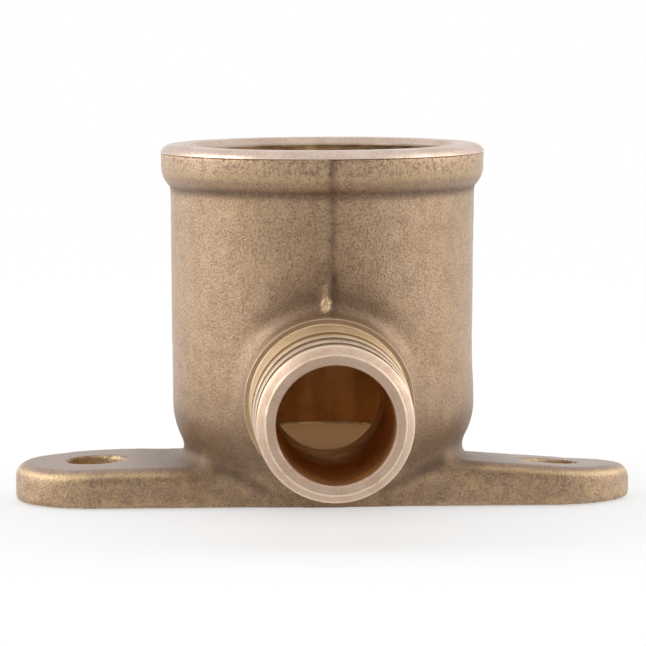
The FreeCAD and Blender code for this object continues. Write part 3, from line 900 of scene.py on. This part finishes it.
def turned_finish(name, light, dark, warm, gold, darkening_colour, base_rough, torn):
    material, shader, place = new_finish(name)
    x, y, z = place.parts()
    reach, height = y * -1, z - SPIGOT_Z * MM
    on_spigot = reach.between(SPIGOT_FROM * MM, (SPIGOT_FROM + 0.5) * MM)
    past_land = reach.between(LAND_FADE * MM, (LAND_FADE + 2.0) * MM)
    on_land = reach.between(LAND_FROM * MM, (LAND_FROM + 0.2) * MM) - past_land
    off_socket = place.math("SQRT", x * x + y * y)
    off_spigot = place.math("SQRT", x * x + height * height)
    along = off_socket + on_spigot * (off_spigot - y - off_socket)
    rings = place.node("ShaderNodeTexNoise", {"noise_dimensions": "1D"}, {
        "W": along, "Scale": RINGS_PER_MM / MM, "Detail": 3.0})
    upright = place.node("ShaderNodeVectorMath", {"operation": "MULTIPLY"}, {0: place, 1: (1.0, 1.0, 0.06)})
    smears = cloud(place, 2.2, detail=4.0, rough=0.6).between(0.35, 0.7)
    streaks = cloud(upright, 3.0, detail=2.0).between(0.35, 0.65)
    tears = cloud(place, 0.22, detail=3.0, rough=0.7).between(0.38, 0.64)
    marks = smears * 0.2 + rings * 0.4 + streaks * 0.4
    # Painted highlights on the tip, the barbs' crests and the rim's lower edge.
    wear_and_highlight_mask = measure(place, "edge") * cloud(place, 0.9, detail=4.0).between(0.25, 0.5)
    metal = (marks + torn * (tears - marks)).tint(light, dark)
    metal = (on_spigot * 0.35).tint(metal, warm)
    metal = (on_land * 0.7).tint(metal, gold)
    metal = (wear_and_highlight_mask * 0.6).tint(metal, srgb(246, 228, 200))
    # Painted shade in the thread and the barbs' grooves; the bevel and the shoulder are made a little
    # darker.
    metal = (measure(place, "hollow") * (0.8 + 0.2 * smears)).tint(metal, darkening_colour)
    bump = place.node("ShaderNodeBump", {}, {"Strength": 0.35, "Distance": 0.03 * MM, "Height": rings})
    roughness = base_rough + 0.18 * smears + 0.1 * rings - 0.1 * wear_and_highlight_mask + 0.14 * on_spigot
    feed(shader, Base_Color=metal, Normal=bump, Roughness=roughness)
    return material


turned = turned_finish(
    "turned_brass", light=srgb(228, 208, 194), dark=srgb(186, 163, 146), warm=srgb(210, 176, 142),
    gold=srgb(220, 192, 148), darkening_colour=srgb(124, 99, 66), base_rough=0.28, torn=0.35)
bored_metal = turned_finish(
    "bored_brass", light=srgb(244, 200, 138), dark=srgb(168, 112, 54), warm=srgb(216, 164, 100),
    gold=srgb(226, 176, 110), darkening_colour=srgb(30, 23, 14), base_rough=0.36, torn=0.0)
print("lathe finishes:", turned.name, "and", bored_metal.name)

# %% [markdown]
# ## Cored finish
# The chamber's floor was left by a sand core and never cut. It is dull and dusty, so it scatters light
# more than it mirrors it, and shows as a pale crescent at the end of the waterway.

# %% Cored floor of the chamber
cored_metal, shader, place = new_finish("cored_brass")
dust = cloud(place, 0.5).between(0.3, 0.7)
feed(shader, Base_Color=dust.tint(srgb(246, 198, 138), srgb(252, 212, 156)), Roughness=0.7 + 0.2 * dust)
shader.inputs["Metallic"].default_value = 0.1
for material in (cast, turned, bored_metal, cored_metal):
    elbow.data.materials.append(material)
print("finishes on the piece:", [material.name for material in elbow.data.materials])

# %% [markdown]
# ## Floor
# The photograph has a white ground. The floor glows white to the camera and in reflections, through
# the Light Path node, and is plain paper to all other light. Near the object the two are mixed, so it
# still takes the soft shadow.

# %% White floor
FLOOR_HALF, FLOOR_DROP = 3.0, 0.0001
floor_mesh = bpy.data.meshes.new("floor")
corners = [(FLOOR_HALF * a, FLOOR_HALF * b, 0) for a, b in ((-1, -1), (1, -1), (1, 1), (-1, 1))]
floor_mesh.from_pydata(corners, [], [(0, 1, 2, 3)])
floor = bpy.data.objects.new("floor", floor_mesh)
floor.location.z = -FLOOR_DROP
bpy.context.scene.collection.objects.link(floor)
floor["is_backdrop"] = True
print("floor:", floor.name)

# %% Paper that glows
SHADOW_START, SHADOW_END, NEAR_GLOW = 0.03, 0.30, 0.55
paper = bpy.data.materials.new("white_paper")
paper.use_nodes = True
tree = paper.node_tree
shader = tree.nodes["Principled BSDF"]
shader.inputs["Base Color"].default_value = (0.9, 0.9, 0.9, 1)
shader.inputs["Roughness"].default_value = 0.9
shader.inputs["Specular IOR Level"].default_value = 0.0
path = tree.nodes.new("ShaderNodeLightPath")
seen, glossy, through = (Wire(tree, path.outputs[name]) for name in (
    "Is Camera Ray", "Is Glossy Ray", "Is Transmission Ray"))
glow = seen.node("ShaderNodeEmission", {}, {"Color": (1, 1, 1, 1), "Strength": 1.0})
spot = Wire(tree, tree.nodes.new("ShaderNodeTexCoord").outputs["Object"])
far = spot.node("ShaderNodeVectorMath", {"operation": "LENGTH"}, {0: spot}, output=1)
away = far.between(SHADOW_START, SHADOW_END)
shown = seen.math("MINIMUM", seen + glossy + through, 1.0) * (NEAR_GLOW + (1 - NEAR_GLOW) * away)
mixed = seen.node("ShaderNodeMixShader", {}, {0: shown, 1: Wire(tree, shader.outputs[0]), 2: glow})
tree.links.new(mixed.socket, tree.nodes["Material Output"].inputs["Surface"])
floor_mesh.materials.append(paper)
print("paper:", len(tree.nodes), "nodes")

# %% [markdown]
# ## Light
# The light is broad and soft: bright from behind, above and both sides, and darker from the camera's
# side, which is what shapes the metal. A world that fades with direction gives that, and two large soft
# lamps at the sides give the glints.

# %% World
DARK_FRONT, BRIGHT_FROM = -0.77, -0.31
world = bpy.data.worlds.new("studio")
bpy.context.scene.world = world
world.use_nodes = True
tree = world.node_tree
x, y, z = Wire(tree, tree.nodes.new("ShaderNodeTexCoord").outputs["Generated"]).parts()
behind = (y + 0.35 * z).between(DARK_FRONT, BRIGHT_FROM)
tone = behind.tint(srgb(54, 50, 48), (1, 1, 1, 1))
tree.links.new(tone.socket, tree.nodes["Background"].inputs["Color"])
tree.nodes["Background"].inputs["Strength"].default_value = 1.0
print("world:", world.name)

# %% Lamps
LAMP_SIDE, LAMP_BACK, LAMP_HEIGHT, LAMP_WIDTH = 0.70, 0.02, 0.36, 0.60
LEFT_POWER, RIGHT_POWER = 2.3, 1.6


def soft_lamp(name, place, aim, width, power):
    """A square lamp that shines from one place towards another, in metres."""
    data = bpy.data.lights.new(name, "AREA")
    data.size = width
    data.energy = power
    lamp = bpy.data.objects.new(name, data)
    lamp.location = place
    lamp.rotation_euler = (Vector(aim) - Vector(place)).to_track_quat("-Z", "Y").to_euler()
    bpy.context.scene.collection.objects.link(lamp)
    return lamp


middle = (0, 0, 0.015)
lamps = [
    soft_lamp("left_lamp", (-LAMP_SIDE, LAMP_BACK, LAMP_HEIGHT), middle, LAMP_WIDTH, LEFT_POWER),
    soft_lamp("right_lamp", (LAMP_SIDE, LAMP_BACK, LAMP_HEIGHT), middle, LAMP_WIDTH, RIGHT_POWER),
]
print("lamps:", [lamp.name for lamp in lamps])

# %% [markdown]
# ## Camera
# The photograph is taken from far off with a long lens, from a little above, so the sides hardly
# converge. The place and tilt were found by fitting the CAD edges to the photograph.

# %% Camera
EYE = Vector((0.087, -336.99, 46.075)) * MM
PITCH, ROLL, TURN = (math.radians(a) for a in (5.319, -0.226, 1.929))
FOCAL_PIXELS, IMAGE = 4022.5, 646
forward = Vector((0, math.cos(PITCH), -math.sin(PITCH)))
right = forward.cross(Vector((0, 0, 1))).normalized()
upward = right.cross(forward)
across = right * math.cos(ROLL) + upward * math.sin(ROLL)
rise = upward * math.cos(ROLL) - right * math.sin(ROLL)
axes = Matrix((across, rise, -forward)).transposed().to_4x4()
camera_data = bpy.data.cameras.new("camera")
camera_data.sensor_fit = "HORIZONTAL"
camera_data.sensor_width = 36.0
camera_data.lens = FOCAL_PIXELS / IMAGE * camera_data.sensor_width
camera = bpy.data.objects.new("camera", camera_data)
camera.matrix_world = Matrix.Rotation(-TURN, 4, "Z") @ Matrix.Translation(EYE) @ axes
bpy.context.scene.collection.objects.link(camera)
bpy.context.scene.camera = camera
bpy.context.scene.view_settings.view_transform = "Standard"
print(f"lens {camera_data.lens:.1f} mm at {camera.location.length:.3f} m")

# %% [markdown]
# ## Size and finish
# The two boxes are compared, and how far the visual model reaches past the CAD part at the high corner
# is printed. The visual model may not outgrow the CAD part.

# %% Compare the boxes
visual_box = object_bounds()
grown = [round((b - a) / MM, 3) for a, b in zip(cad_box[1], visual_box[1])]
print("grown by", grown, "mm at the high corner")
